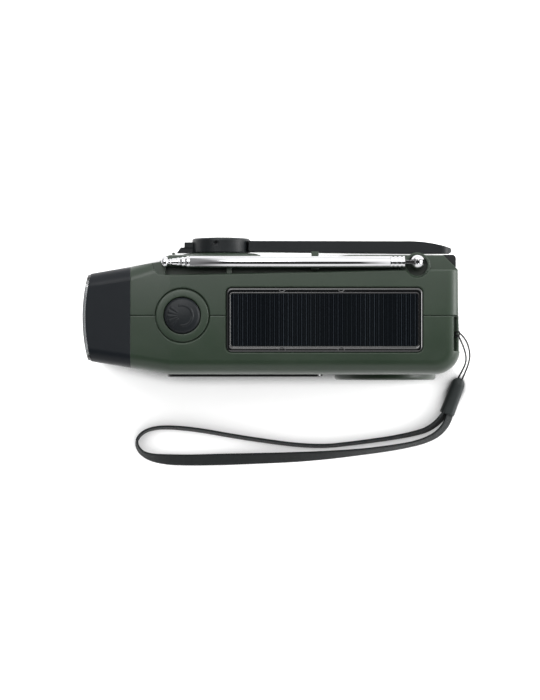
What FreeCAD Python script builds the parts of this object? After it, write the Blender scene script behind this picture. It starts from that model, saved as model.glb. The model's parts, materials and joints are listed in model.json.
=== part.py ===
"""Hand-crank emergency radio with lamp head, solar panel, folding antenna and wrist strap.

Millimetres. +Z is up and the radio stands on its feet at z = 0. The lamp faces -X, the dial and
speaker face -Y, the crank is on the back at +Y. Each named piece is written to parts/NAME.step.
"""

import math
import os

import FreeCAD
import Part

V = FreeCAD.Vector
os.makedirs("parts", exist_ok=True)

# ---- driving dimensions of the case
WALL = 2.2
X_RIGHT = 80.1
X_TAPER = -42.0  # the case narrows from here towards the lamp head
X_SEAM = -58.6  # lamp head meets the two shells
X_BEZEL = -77.1  # corners of the bezel's front edge
Y_FRONT = -28.0
Y_BACK = 22.3
Y_PART = -3.3  # plane where the front and rear shells meet
Z_LOW = 1.0
Z_TOP = 73.0
EDGE_R = 6.0
CORNER_R = 11.0
SHELF_Z = 69.0  # floor of the antenna shelf

# ---- top features
SWITCH = (-36.8, -3.3)
BUTTON_R = 7.45
RING_R = 11.0
GROOVE_R = 11.4
PANEL = (-18.1, 63.7, -18.4, 8.2)
PANEL_FLOOR = 71.6

# ---- antenna
ANT_Y = 19.1
ANT_Z = 73.6
PIVOT_X = 61.8
POCKET_Y = 17.8
TUBE_R = 2.45

# ---- crank
HUB = (-21.0, 42.0)
HUB_R = 12.45
HUB_Y = (24.0, 30.55)
PIN_X = 69.0
PIN_Y = 26.7

# ---- gears: teeth and module of each stage
CRANK_TEETH = 48
IDLER_TEETH = 12
STAGE_ONE = 0.7
WHEEL_TEETH = 36
PINION_TEETH = 12
STAGE_TWO = 0.6
IDLER_X = HUB[0] + STAGE_ONE * (CRANK_TEETH + IDLER_TEETH) / 2
ROTOR_X = IDLER_X + STAGE_TWO * (WHEEL_TEETH + PINION_TEETH) / 2

# ---- front
SPEAKER = (49.6, 36.0)
SPEAKER_R = 21.75
DIAL = (-43.5, 22.2, 11.0, 63.0)
WINDOW = (-37.0, 16.0, 40.0, 57.0)

# ---- right side
WHEEL_R = 8.4
WHEEL_X = 71.9
TUNE_Z = 46.0
VOLUME_Z = 22.0

# ---- strap
CORD_D = 0.8
WEB_W = 5.5
WEB_T = 1.0

PARTS = {}


def box(x0, x1, y0, y1, z0, z1):
    return Part.makeBox(x1 - x0, y1 - y0, z1 - z0, V(x0, y0, z0))


def rod_x(r, x0, x1, y, z):
    return Part.makeCylinder(r, x1 - x0, V(x0, y, z), V(1, 0, 0))


def rod_y(r, y0, y1, x, z):
    return Part.makeCylinder(r, y1 - y0, V(x, y0, z), V(0, 1, 0))


def rod_z(r, z0, z1, x, y):
    return Part.makeCylinder(r, z1 - z0, V(x, y, z0), V(0, 0, 1))


def slab_z(points, z0, z1):
    """Prism on a plan outline of (x, y) points."""
    ring = [V(x, y, z0) for x, y in points]
    face = Part.Face(Part.makePolygon(ring + ring[:1]))
    return face.extrude(V(0, 0, z1 - z0))


def slab_y(points, y0, y1):
    """Prism on an outline of (x, z) points."""
    ring = [V(x, y0, z) for x, z in points]
    face = Part.Face(Part.makePolygon(ring + ring[:1]))
    return face.extrude(V(0, y1 - y0, 0))


def round_edges(shape, radius, wanted):
    edges = [e for e in shape.Edges if wanted(e)]
    return shape.makeFillet(radius, edges)


def along(edge, axis):
    """True for a straight edge that runs along one axis."""
    if edge.Curve.TypeId != "Part::GeomLine":
        return False
    step = edge.Vertexes[-1].Point - edge.Vertexes[0].Point
    return abs(abs(step.dot(axis)) - step.Length) < 1e-6


def soft_box(x0, x1, y0, y1, z0, z1, radius, axis):
    """Box with the four edges along one axis rounded."""
    return round_edges(box(x0, x1, y0, y1, z0, z1), radius, lambda e: along(e, axis))


def level(edge, z):
    return all(abs(v.Z - z) < 1e-6 for v in edge.Vertexes)


def fuse(*shapes):
    out = shapes[0]
    for s in shapes[1:]:
        out = out.fuse(s)
    return out.removeSplitter()


def cut(shape, *tools):
    for tool in tools:
        shape = shape.cut(tool)
    return shape


def keep(name, *shapes):
    """Store one node, made of one or more closed solids."""
    solids = [s for shape in shapes for s in shape.Solids]
    PARTS[name] = solids[0] if len(solids) == 1 else Part.makeCompound(solids)


# ---------------------------------------------------------------- case skin


def section(x, y0, y1, z0, z1, r):
    """Rounded rectangle across the case at one x, as a closed wire."""
    h = r * (1 - math.sqrt(0.5))
    rows = [
        ((y0 + r, z0), (y1 - r, z0), (y1 - h, z0 + h)),
        ((y1, z0 + r), (y1, z1 - r), (y1 - h, z1 - h)),
        ((y1 - r, z1), (y0 + r, z1), (y0 + h, z1 - h)),
        ((y0, z1 - r), (y0, z0 + r), (y0 + h, z0 + h)),
    ]
    edges = []
    for i, (a, b, mid) in enumerate(rows):
        nxt = rows[(i + 1) % 4][0]
        edges.append(Part.LineSegment(V(x, *a), V(x, *b)).toShape())
        edges.append(Part.Arc(V(x, *b), V(x, *mid), V(x, *nxt)).toShape())
    return Part.Wire(edges)


def taper(inset):
    """Case from its straight part down to the lamp head."""
    r = EDGE_R - inset
    wide = section(
        X_TAPER, Y_FRONT + inset, Y_BACK - inset, Z_LOW + inset, Z_TOP - inset, r
    )
    slim = section(X_SEAM, -25.3 + inset, 17.3 - inset, 3.6 + inset, 71.2 - inset, r)
    return Part.makeLoft([wide, slim], True, True)


def head(inset, x_end):
    """Lamp head, narrowing on from the seam to x_end."""
    t = (x_end - X_SEAM) / (X_BEZEL - X_SEAM)
    r = EDGE_R - inset
    wide = section(X_SEAM, -25.3 + inset, 17.3 - inset, 3.6 + inset, 71.2 - inset, r)
    low = (-25.3 + 3.0 * t + inset, 17.3 - 3.0 * t - inset)
    high = (3.6 + 3.3 * t + inset, 71.2 - 3.3 * t - inset)
    slim = section(x_end, *low, *high, r - 0.4 * t)
    return Part.makeLoft([wide, slim], True, True)


def block(inset):
    """Straight part of the case with rounded corners and edges."""
    b = box(
        -60.0,
        X_RIGHT - inset,
        Y_FRONT + inset,
        Y_BACK - inset,
        Z_LOW + inset,
        Z_TOP - inset,
    )
    up = V(0, 0, 1)
    b = round_edges(
        b,
        CORNER_R - inset,
        lambda e: along(e, up) and e.Vertexes[0].X > 0 and e.Vertexes[0].Y < 0,
    )
    b = round_edges(
        b,
        6.5 - inset,
        lambda e: along(e, up) and e.Vertexes[0].X > 60 and e.Vertexes[0].Y > 0,
    )
    ends = (Z_LOW + inset, Z_TOP - inset)
    b = round_edges(
        b,
        EDGE_R - inset,
        lambda e: (level(e, ends[0]) or level(e, ends[1]))
        and max(v.X for v in e.Vertexes) > -59,
    )
    return b.common(box(X_TAPER, 100, -60, 60, -10, 100))


def groove(grow):
    """Antenna shelf along the back of the top, open to the back."""
    plan = [
        (-46.5 - grow, 13.7 - grow),
        (-17.0, 14.3 - grow),
        (20.0, 15.0 - grow),
        (56.0, 15.9 - grow),
        (90.0, 15.9 - grow),
        (90.0, 40.0),
        (-49.5 - grow, 40.0),
        (-49.5 - grow, 16.7 - grow),
    ]
    up = V(0, 0, 1)
    slab = slab_z(plan, SHELF_Z - grow, 90)
    slab = round_edges(
        slab,
        2.2,
        lambda e: along(e, up) and e.Vertexes[0].X < -45 and e.Vertexes[0].Y < 17,
    )
    bay = rod_z(4.9 + grow, SHELF_Z - grow, 90, PIVOT_X, POCKET_Y)
    slab = slab.fuse(bay).removeSplitter()
    uprights = [e for e in slab.Edges if along(e, up)]
    meet = [e for e in uprights if 55 < e.Vertexes[0].X < 69 and e.Vertexes[0].Y < 18]
    return slab.makeFillet(1.6, meet)


def trench(grow):
    """Deeper channel in the antenna shelf, along its front wall."""
    plan = [
        (-44.0 - grow, 13.751 - grow),
        (-17.0, 14.3 - grow),
        (20.0, 15.0 - grow),
        (55.0 + grow, 15.875 - grow),
        (55.0 + grow, 17.5 + grow),
        (-44.0 - grow, 17.5 + grow),
    ]
    return slab_z(plan, 65.8 - grow, 90)


def scoop(grow):
    """Finger room behind the crank arm, cut into the back wall."""
    plan = [
        (-5.5 - grow, 30.0),
        (-5.5 - grow, 23.4 - grow),
        (-1.8, 19.5 - grow),
        (6.0, 19.2 - grow),
        (34.0 + grow, 22.3 - grow),
        (34.0 + grow, 30.0),
    ]
    return slab_z(plan, -5, 90)


def chamfer(grow):
    """Cut across the back right corner, above the port cover's foot."""
    off = grow * math.sqrt(2)
    plan = [(60 - off, 35), (95, 35), (95, -off)]
    return slab_z(plan, 16.0 - grow, 90)


def notch(grow):
    """Step in the back wall between the lamp head and the hub's landing."""
    plan = [
        (-58.6, 17.35 - grow),
        (-46.0 + grow, 19.4 - grow),
        (-44.9 + grow, 22.2),
        (-44.9 + grow, 30.0),
        (-58.6, 30.0),
    ]
    return slab_z(plan, -5, 95)


def flank(grow):
    """Slight lean of the right wall, which closes in towards the back."""
    plan = [
        (80.2 - grow, -26.0),
        (79.5 - grow, -16.0),
        (78.9 - grow, 2.0),
        (78.8 - grow, 30.0),
        (90.0, 30.0),
        (90.0, -26.0),
    ]
    return slab_z(plan, -5, 95)


def pocket(grow):
    return rod_z(4.4 + grow, 66.2 - grow, 90, PIVOT_X, POCKET_Y)


def switch_well(grow):
    return rod_z(GROOVE_R + grow, 71.7 - grow, 90, *SWITCH)


def panel_well(grow):
    x0, x1, y0, y1 = PANEL
    g = 0.25 + grow
    up = V(0, 0, 1)
    z0 = PANEL_FLOOR - grow
    return soft_box(x0 - g, x1 + g, y0 - g, y1 + g, z0, 90, 2.2, up)


def mouth(tool, size):
    """Chamfer where an upright recess opens into the flat top."""
    top = max(tool.Faces, key=lambda f: f.CenterOfMass.z)
    wide = top.makeOffset2D(size + 0.3, 2, False, False, False)
    low = top.OuterWire.copy()
    low.translate(V(0, 0, Z_TOP - size - 90))
    high = wide.OuterWire.copy()
    high.translate(V(0, 0, Z_TOP + 0.3 - 90))
    return Part.makeLoft([low, high], True, True)


def lug_slot(grow):
    return box(76.9 - grow, 90, -18.2 - grow, -3.6, 58.0 - grow, 62.4 + grow)


SCREWS = [(-42.0, 12.0), (-42.0, 60.0), (31.0, 10.0), (31.0, 55.0)]

outer = fuse(block(0), taper(0))
boss = Part.makeCone(26.5, 15.0, 3.1, V(HUB[0], 20.4, HUB[1]), V(0, 1, 0))
collar = rod_z(5.4, 50.0, 70.4, PIVOT_X, POCKET_Y)
catch = box(-41.9, -40.8, 18.0, 23.9, 38.0, 46.0)
rib_back = box(17.4, 20.4, 16.0, 23.6, 66.6, 70.6)
rib_front = box(-18.2, -16.2, 13.2, 16.9, 65.0, 71.4)
bulge = rod_y(SPEAKER_R, -30.55, -25.9, *SPEAKER)
bulge = round_edges(bulge, 1.1, lambda e: all(v.Y < -30.5 for v in e.Vertexes))

void = fuse(block(WALL), taper(WALL))
void = cut(
    void,
    groove(WALL),
    trench(1.8),
    scoop(WALL),
    chamfer(WALL),
    notch(WALL),
    flank(1.3),
    pocket(2.3),
    lug_slot(1.6),
)
for sx, sz in SCREWS:
    void = void.cut(rod_y(3.3, -40, 40, sx, sz))
void = void.fuse(rod_z(3.3, 60.5, 63.9, PIVOT_X, ANT_Y))

skin = cut(outer, groove(0), trench(0), scoop(0), chamfer(0), notch(0), flank(0))
skin = fuse(skin, boss.cut(scoop(0)), collar, catch, rib_back, rib_front, bulge)
skin = cut(
    skin,
    void,
    pocket(0),
    switch_well(0),
    panel_well(0),
    rod_z(9.2, 60, 90, *SWITCH),
)
for recess in (groove(0), switch_well(0), panel_well(0)):
    skin = skin.cut(mouth(recess, 0.45))

# shallow line round the case where the two shells meet
seam = box(-75, 100, Y_PART - 0.2, Y_PART + 0.2, -10, 100)
skin = skin.cut(seam.cut(fuse(block(0.6), taper(0.6))))

# wrist strap slot: a thin bridge of the side wall stays for the cord to go round
skin = cut(
    skin,
    lug_slot(0),
    box(76.9, 78.3, -18.2, -3.6, 58.0, 90),
    box(79.3, 90, -18.2, -3.6, 58.0, 90),
    box(78.0, 90, -18.2, -3.6, 70.4, 90),
)

# openings in the walls
dial_cut = box(WINDOW[0] - 0.6, WINDOW[1] + 0.6, -35, -20, WINDOW[2] - 0.6, WINDOW[3] + 0.6)
skin = cut(skin, dial_cut, rod_y(17.6, -35, -20, *SPEAKER))
for wz in (TUNE_Z, VOLUME_Z):
    skin = skin.cut(box(70, 90, -6.25, -0.35, wz - 7.6, wz + 7.6))
skin = skin.cut(rod_z(1.65, 55, 70, PIVOT_X, ANT_Y))
skin = skin.cut(rod_y(4.0, 10, 30, *HUB))
SWITCHES = [(-26.0, 26.0), (-6.0, 26.0)]
for sx, sz in SWITCHES:
    skin = skin.cut(box(sx - 5.6, sx + 5.6, -35, -20, sz - 2.2, sz + 2.2))
SOS = (12.0, 26.0)
skin = skin.cut(rod_y(3.3, -35, -20, *SOS))
GUIDE = (-38.0, 26.0)
skin = skin.cut(rod_y(1.2, -35, -20, *GUIDE))
for sx, sz in SCREWS:
    skin = skin.cut(rod_y(2.8, 20.0 if sx < 0 else 19.6, 40, sx, sz))
    skin = skin.cut(rod_y(1.4, -16, 40, sx, sz))

# battery door opening and its hinge holes
DOOR = (37.0, 71.6, 5.3, 34.0)
DOOR_PIN = (21.3, 6.3)
skin = skin.cut(box(DOOR[0] - 0.35, DOOR[1] + 0.35, 15, 40, DOOR[2] - 0.4, DOOR[3] + 0.4))
skin = skin.cut(rod_x(0.65, DOOR[0] - 1.7, DOOR[1] + 1.7, *DOOR_PIN))

# sockets in the cut corner
USB = (46.2, 58.2)
JACK_Z = 40.6
slant = FreeCAD.Placement(V(75.35, 19.65, 0), FreeCAD.Rotation(V(0, 0, 1), 45))


def cornered(shape):
    """Place a shape built about the x axis on the face of the cut corner."""
    shape.Placement = slant.multiply(shape.Placement)
    return shape


skin = skin.cut(cornered(box(-4, 4, -2.4, 2.4, *USB)))
skin = skin.cut(cornered(rod_x(3.0, -4, 4, 0, JACK_Z)))

front = skin.common(box(-70, 100, -60, Y_PART, -10, 100))
rear = skin.common(box(-70, 100, Y_PART, 60, -10, 100))
keep("front_shell", front)
keep("rear_shell", rear)

# ---------------------------------------------------------------- lamp head
SAG_R = 75.0
LENS_T = 1.2
APEX_X = -78.9
dome = rod_z(SAG_R, -20, 100, APEX_X + SAG_R, -4.0)
dome_in = rod_z(SAG_R - LENS_T, -20, 100, APEX_X + SAG_R, -4.0)
cone = head(0, -83.0)
bezel = cone.common(dome_in)
bezel = cut(bezel, head(2.0, -83.5), box(-100, X_SEAM - 0.0, -60, 60, -60, -50))
ledge = head(1.9, -83.5).common(dome_in).cut(rod_z(SAG_R - 2.8, -20, 100, APEX_X + SAG_R, -4))
bezel = bezel.fuse(ledge.cut(head(3.6, -84.0))).removeSplitter()
keep("lamp_bezel", bezel)
lens = head(0.2, -83.0).common(dome).cut(dome_in)
keep("lamp_lens", lens)

LEDS = [18.0, 37.4, 56.8]
LAMP_Y = -4.0
tray = box(-74.4, -66.0, LAMP_Y - 14.5, LAMP_Y + 14.5, 9.5, 65.3)
for lz in LEDS:
    cup = Part.makeCone(9.2, 3.2, 8.6, V(-74.5, LAMP_Y, lz), V(1, 0, 0))
    tray = tray.cut(cup)
keep("lamp_reflector", tray)
keep("lamp_board", box(-65.9, -64.3, LAMP_Y - 15.5, LAMP_Y + 15.5, 8.0, 66.8))
leds = []
for lz in LEDS:
    dot = rod_x(2.3, -68.2, -65.9, LAMP_Y, lz)
    rim = [e for e in dot.Edges if e.Vertexes[0].X < -68 and e.Curve.TypeId == "Part::GeomCircle"]
    leds.append(dot.makeFillet(1.2, rim))
keep("lamp_leds", *leds)

# ---------------------------------------------------------------- lamp switch
sx, sy = SWITCH
ring = fuse(
    rod_z(RING_R, 71.7, 73.0, sx, sy),
    Part.makeCone(RING_R, 9.6, 0.5, V(sx, sy, 73.0), V(0, 0, 1)),
    rod_z(9.2, 69.4, 71.7, sx, sy),
)
ring = ring.cut(rod_z(BUTTON_R + 0.35, 60, 80, sx, sy))
keep("switch_ring", ring)
cap = rod_z(BUTTON_R, 70.6, 78, sx, sy).common(Part.makeSphere(26.0, V(sx, sy, 49.3)))
stem = rod_z(2.0, 66.2, 70.6, sx, sy)
flange = rod_z(8.6, 67.8, 68.9, sx, sy)
neck = rod_z(5.0, 68.9, 70.6, sx, sy)
button = fuse(cap, stem, flange, neck)
icon = rod_z(4.9, 73, 78, sx + 0.6, sy).cut(rod_z(3.9, 72, 79, sx + 0.6, sy))
icon = icon.common(box(sx + 0.6, sx + 9, sy - 9, sy + 9, 70, 80))
bar = box(sx + 0.1, sx + 1.0, sy - 4.9, sy + 4.9, 73, 78)
rays = []
for turn in (150, 180, 210):
    ray = slab_z([(1.2, -0.35), (5.6, -0.75), (5.6, 0.75), (1.2, 0.35)], 73, 78)
    ray.rotate(V(0, 0, 0), V(0, 0, 1), turn)
    ray.translate(V(sx, sy, 0))
    rays.append(ray)
icon = fuse(icon, bar, *rays).common(Part.makeSphere(26.25, V(sx, sy, 49.3)))
keep("lamp_button", fuse(button, icon))
tact = fuse(
    box(sx - 3.2, sx + 6, sy - 5, sy + 5, 59.4, 60.6),
    box(sx - 3, sx + 3, sy - 3, sy + 3, 60.6, 63.8),
    rod_z(1.5, 63.8, 64.6, sx, sy),
)
keep("lamp_switch", tact.cut(rod_y(3.8, -20, 20, *SCREWS[1])))

# ---------------------------------------------------------------- solar panel
px0, px1, py0, py1 = PANEL
up = V(0, 0, 1)
rim = soft_box(px0, px1, py0, py1, PANEL_FLOOR, 73.55, 2.0, up)
rim = round_edges(rim, 0.5, lambda e: level(e, 73.55))
rim = rim.cut(soft_box(-16.5, 62.2, -16.2, 6.0, PANEL_FLOOR + 0.4, 80, 0.8, up))
lugs = []
for lx in (5.0, 29.8):
    for ly in (-16.2, 6.0):
        lug = rod_z(1.2, 73.1, 73.5, lx, ly)
        lugs.append(lug.common(box(-50, 90, -16.2, 6.0, 70, 80)))
keep("solar_frame", fuse(rim, *lugs))
keep("solar_cell", box(-16.3, 62.0, -16.0, 5.8, PANEL_FLOOR + 0.4, PANEL_FLOOR + 0.8))
keep("solar_cover", box(-16.4, 62.1, -16.1, 5.9, 72.4, 73.1))

# ---------------------------------------------------------------- antenna
post = rod_z(2.5, 66.5, ANT_Z - 1.0, PIVOT_X, ANT_Y)
turret = fuse(Part.makeSphere(2.95, V(PIVOT_X, ANT_Y, ANT_Z)), post)
turret = turret.cut(box(PIVOT_X - 4, PIVOT_X + 4, ANT_Y - 1.0, ANT_Y + 1.0, 70.6, 80))
turret = fuse(
    turret,
    rod_z(1.6, 62.6, 66.5, PIVOT_X, ANT_Y),
    rod_z(2.9, 61.8, 62.6, PIVOT_X, ANT_Y),
)
turret = fuse(turret, rod_y(0.8, ANT_Y - 2.0, ANT_Y + 2.0, PIVOT_X, ANT_Z))
keep("antenna_turret", turret)

tongue = fuse(
    rod_y(2.3, ANT_Y - 0.7, ANT_Y + 0.7, PIVOT_X, ANT_Z),
    box(56.0, PIVOT_X, ANT_Y - 0.7, ANT_Y + 0.7, ANT_Z - 1.9, ANT_Z + 1.9),
)
tongue = tongue.cut(rod_y(0.85, 15, 25, PIVOT_X, ANT_Z))
sleeve = rod_x(TUBE_R, 50.4, 56.4, ANT_Y, ANT_Z)
for gx in (51.6, 53.4, 55.2):
    ring_cut = rod_x(3, gx - 0.35, gx + 0.35, ANT_Y, ANT_Z)
    ring_cut = ring_cut.cut(rod_x(2.15, gx - 1, gx + 1, ANT_Y, ANT_Z))
    sleeve = sleeve.cut(ring_cut)
keep("antenna_joint", fuse(sleeve, tongue, rod_x(2.1, 47.6, 50.4, ANT_Y, ANT_Z)))
mouth = rod_x(2.15, -34.9, 50.4, ANT_Y, ANT_Z)
keep("antenna_tube", rod_x(TUBE_R, -34.9, 50.4, ANT_Y, ANT_Z).cut(mouth))


def stage(r, bore, x0, x1):
    """One telescoping section: a tube, or a rod when bore is 0."""
    tube = rod_x(r, x0, x1, ANT_Y, ANT_Z)
    if bore:
        tube = tube.cut(rod_x(bore, x0 - 1, x1 + 1, ANT_Y, ANT_Z))
    return tube


keep("antenna_section_1", stage(2.1, 1.85, -36.9, 43.0))
keep("antenna_section_2", stage(1.8, 1.55, -39.0, 41.0))
tip = rod_x(2.3, -45.6, -42.6, ANT_Y, ANT_Z)
tip = round_edges(tip, 0.5, lambda e: e.Vertexes[0].X < -45 and e.Curve.TypeId == "Part::GeomCircle")
tip = fuse(stage(1.5, 0, -41.0, 39.0), rod_x(1.1, -42.6, -41.0, ANT_Y, ANT_Z), tip)
keep("antenna_section_3", tip)

# ---------------------------------------------------------------- crank
hx, hz = HUB
hub = rod_y(HUB_R, HUB_Y[0], HUB_Y[1], hx, hz)
hub = hub.common(Part.makeSphere(130.0, V(hx, HUB_Y[1] - 130.0 + 0.05, hz)))
hub = round_edges(hub, 1.0, lambda e: all(v.Y > 28 for v in e.Vertexes) and e.Length > 40)
foot = slab_z([(-39.8, 23.85), (-38.2, 26.2), (-30.0, 26.2), (-30.0, 23.85)], hz - 3, hz + 3)
foot = fuse(foot, box(-36.7, -30.0, 26.0, 28.4, hz - 3.4, hz + 3.4))
hub = fuse(hub, foot)
hub = cut(hub, rod_y(2.5, 20, 27.5, hx, hz), rod_z(1.05, hz, 60, -22.9, 27.7))
keep("crank_hub", hub.cut(box(-15.0, 0, 24.4, 28.9, 38, 46)))
screw = rod_z(1.05, hz + 3.2, hz + 10.6, -22.9, 27.7).cut(rod_z(0.55, hz + 9.2, 60, -22.9, 27.7))
keep("crank_set_screw", screw)

line = [
    Part.LineSegment(V(-15.0, 24.4, 30), V(57.0, 23.6, 30)).toShape(),
    Part.LineSegment(V(57.0, 23.6, 30), V(76.2, 23.6, 30)).toShape(),
    Part.Arc(V(76.2, 23.6, 30), V(77.9, 24.8, 30), V(76.5, 26.2, 30)).toShape(),
    Part.Arc(V(76.5, 26.2, 30), V(69.0, 28.0, 30), V(57.0, 28.8, 30)).toShape(),
    Part.LineSegment(V(57.0, 28.8, 30), V(-15.0, 28.9, 30)).toShape(),
    Part.LineSegment(V(-15.0, 28.9, 30), V(-15.0, 24.4, 30)).toShape(),
]
arm = Part.Face(Part.Wire(line)).extrude(V(0, 0, 30))
side = slab_y([(-9.0, hz - 7), (72.5, hz - 5.5), (72.5, hz + 5.5), (-9.0, hz + 7)], 20, 32)
side = fuse(side, rod_y(5.5, 20, 32, 72.5, hz), box(-15, -9, 20, 32, hz - 4, hz + 4))
arm = arm.common(side)
arm = arm.cut(rod_y(HUB_R, 20, 32, hx, hz).cut(box(-15, 0, 24.4, 28.9, 38, 46)))
well = box(30.0, 71.2, 25.2, 32, hz - 4.3, hz + 4.3)
arm = fuse(cut(arm, well), rod_z(0.7, hz - 4.8, hz + 4.8, PIN_X, PIN_Y))
keep("crank_arm", arm)
grip = fuse(
    box(30.5, PIN_X, PIN_Y - 1.15, PIN_Y + 1.15, hz - 3.9, hz + 3.9),
    rod_z(1.15, hz - 3.9, hz + 3.9, PIN_X, PIN_Y),
)
grip = round_edges(grip, 1.6, lambda e: along(e, V(0, 1, 0)) and e.Vertexes[0].X < 31)
grip = grip.cut(rod_z(0.75, hz - 6, hz + 6, PIN_X, PIN_Y))
keep("crank_grip", grip)
shaft = fuse(rod_y(2.5, 9.5, 27.5, hx, hz), rod_y(2.0, 4.0, 9.5, hx, hz))
shaft = shaft.cut(rod_z(1.05, hz + 3.2, 60, -22.9, 27.7))
keep("crank_shaft", shaft)
keep("crank_bush", rod_y(4.0, 17.4, 23.3, hx, hz).cut(rod_y(2.55, 10, 30, hx, hz)))


def gear(teeth, module, y0, y1, x, z, phase, bore):
    """Spur gear about the Y axis; phase turns its first tooth, in tooth pitches."""
    pitch = 2 * math.pi / teeth
    rp = module * teeth / 2
    marks = [
        (-0.30, rp - 1.2 * module),
        (-0.205, rp),
        (-0.095, rp + 0.85 * module),
        (0.095, rp + 0.85 * module),
        (0.205, rp),
        (0.30, rp - 1.2 * module),
    ]
    ring = []
    for n in range(teeth):
        for step, r in marks:
            a = (n + phase + step) * pitch
            ring.append((x + r * math.cos(a), z + r * math.sin(a)))
    return slab_y(ring, y0, y1).cut(rod_y(bore, y0 - 1, y1 + 1, x, z))


keep("crank_gear", gear(CRANK_TEETH, STAGE_ONE, 12.0, 15.6, hx, hz, 0.0, 2.5))
pin_gear = gear(IDLER_TEETH, STAGE_ONE, 11.8, 15.8, IDLER_X, hz, 0.5, 1.05)
wheel = gear(WHEEL_TEETH, STAGE_TWO, 8.2, 11.2, IDLER_X, hz, 0.0, 1.05)
spacer = rod_y(2.2, 11.2, 11.8, IDLER_X, hz).cut(rod_y(1.05, 11, 12, IDLER_X, hz))
keep("idler_gear", fuse(pin_gear, spacer, wheel))
pinion = gear(PINION_TEETH, STAGE_TWO, 8.0, 11.4, ROTOR_X, hz, 0.5, 0.9)
keep("generator_rotor", fuse(pinion, rod_y(1.0, -4.0, 11.6, ROTOR_X, hz)))
plate = box(-41.5, 27.0, 5.8, 7.2, 25.2, 58.8)
plate = cut(
    plate,
    rod_y(2.05, 0, 10, hx, hz),
    rod_y(1.0, 0, 10, IDLER_X, hz),
    rod_y(2.2, 0, 10, ROTOR_X, hz),
    rod_y(3.8, 0, 10, *SCREWS[1]),
)
POSTS = [(-38.9, 29.2), (-38.9, 54.8), (-3.5, 27.6), (-3.5, 56.4)]
posts = [rod_y(2.0, 7.0, 17.0, qx, qz) for qx, qz in POSTS]
keep("gear_frame", fuse(plate, rod_y(1.0, 5.8, 16.6, IDLER_X, hz), *posts))
can = rod_y(10.0, -7.0, 5.8, ROTOR_X, hz).cut(rod_y(1.05, -4.4, 8, ROTOR_X, hz))
keep("generator", can)

# ---------------------------------------------------------------- front panel
dx0, dx1, dz0, dz1 = DIAL
out = V(0, 1, 0)
panel = soft_box(dx0, dx1, -29.2, -28.0, dz0, dz1, 3.0, out)
panel = round_edges(panel, 0.6, lambda e: all(abs(v.Y + 29.2) < 1e-6 for v in e.Vertexes))
panel = panel.cut(box(WINDOW[0], WINDOW[1], -35, -20, WINDOW[2], WINDOW[3]))
for sx, sz in SWITCHES:
    panel = panel.cut(box(sx - 5.6, sx + 5.6, -35, -20, sz - 2.2, sz + 2.2))
panel = cut(panel, rod_y(3.3, -35, -20, *SOS), rod_y(1.2, -35, -20, *GUIDE))
keep("dial_panel", panel)
wx0, wx1, wz0, wz1 = WINDOW
keep("dial_window", box(wx0 + 0.1, wx1 - 0.1, -29.0, -27.8, wz0 + 0.1, wz1 - 0.1))
rail_z = 60.6
scale = fuse(
    box(WINDOW[0] - 3.6, WINDOW[1] + 3.6, -22.4, -21.6, WINDOW[2] - 2, 63.0),
    box(WINDOW[0] - 3.6, WINDOW[0] - 2.0, -25.6, -22.4, 59.2, 62.0),
    box(WINDOW[1] + 2.0, WINDOW[1] + 3.6, -25.6, -22.4, 59.2, 62.0),
    rod_x(0.7, WINDOW[0] - 2, WINDOW[1] + 2, -24.1, rail_z),
)
keep("dial_scale", scale.cut(rod_y(3.8, -35, 0, *SCREWS[1])))
POINTER_X = -10.5
pointer = fuse(
    box(POINTER_X - 0.5, POINTER_X + 0.5, -24.6, -23.6, 41.5, 59.0),
    box(POINTER_X - 2.5, POINTER_X + 2.5, -25.2, -23.0, 59.0, 62.2),
)
keep("dial_pointer", pointer.cut(rod_x(0.75, -60, 60, -24.1, rail_z)))


def slider(x, z):
    """Slide switch knob with a ribbed face, set below the panel's surface."""
    knob = box(x - 4.9, x - 1.3, -28.9, -24.6, z - 1.8, z + 1.8)
    for i in range(3):
        gx = x - 4.3 + 1.05 * i
        knob = knob.cut(box(gx, gx + 0.4, -30, -28.5, z - 3, z + 3))
    return knob


keep("band_knob", slider(*SWITCHES[0]))
keep("power_knob", slider(*SWITCHES[1]))
sos = fuse(rod_y(2.95, -29.1, -25.4, *SOS), rod_y(4.0, -25.4, -24.6, *SOS))
keep("sos_button", sos)
units = [box(sx - 7, sx + 7, -24.2, -14.2, sz - 3.4, sz + 3.4) for sx, sz in SWITCHES]
units.append(box(SOS[0] - 3, SOS[0] + 3, -22.9, -14.2, SOS[1] - 3, SOS[1] + 3))
keep("panel_switches", *units)
keep("charge_light", rod_y(1.2, -29.1, -22.0, *GUIDE))

# ---------------------------------------------------------------- speaker
gx, gz = SPEAKER
grille = rod_y(17.6, -29.9, -28.4, gx, gz)
for i in range(-5, 6):
    half = math.sqrt(15.4**2 - (i * 2.7) ** 2)
    bar_z = gz + i * 2.7
    slot = soft_box(gx - half, gx + half, -31, -27, bar_z - 0.7, bar_z + 0.7, 0.69, out)
    grille = grille.cut(slot)
grille = fuse(grille, box(gx - 0.9, gx + 0.9, -29.6, -28.4, gz - 15.5, gz + 15.5))
keep("speaker_grille", grille)
flare = Part.makeCone(18.6, 11.5, 7.6, V(gx, -24.4, gz), V(0, 1, 0))
basket = fuse(rod_y(19.6, -25.8, -24.4, gx, gz), flare)
inside = Part.makeCone(17.2, 10.2, 8.0, V(gx, -24.6, gz), V(0, 1, 0))
basket = cut(basket, inside, rod_y(17.2, -30, -24.4, gx, gz))
paper = Part.makeCone(17.0, 5.0, 4.4, V(gx, -25.6, gz), V(0, 1, 0))
paper = paper.cut(Part.makeCone(16.6, 4.4, 4.4, V(gx, -26.2, gz), V(0, 1, 0)))
keep("speaker_cone", paper.common(box(0, 90, -25.6, -18, 0, 80)))
keep("speaker_frame", fuse(basket, rod_y(11.0, -16.8, -10.0, gx, gz)))

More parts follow.
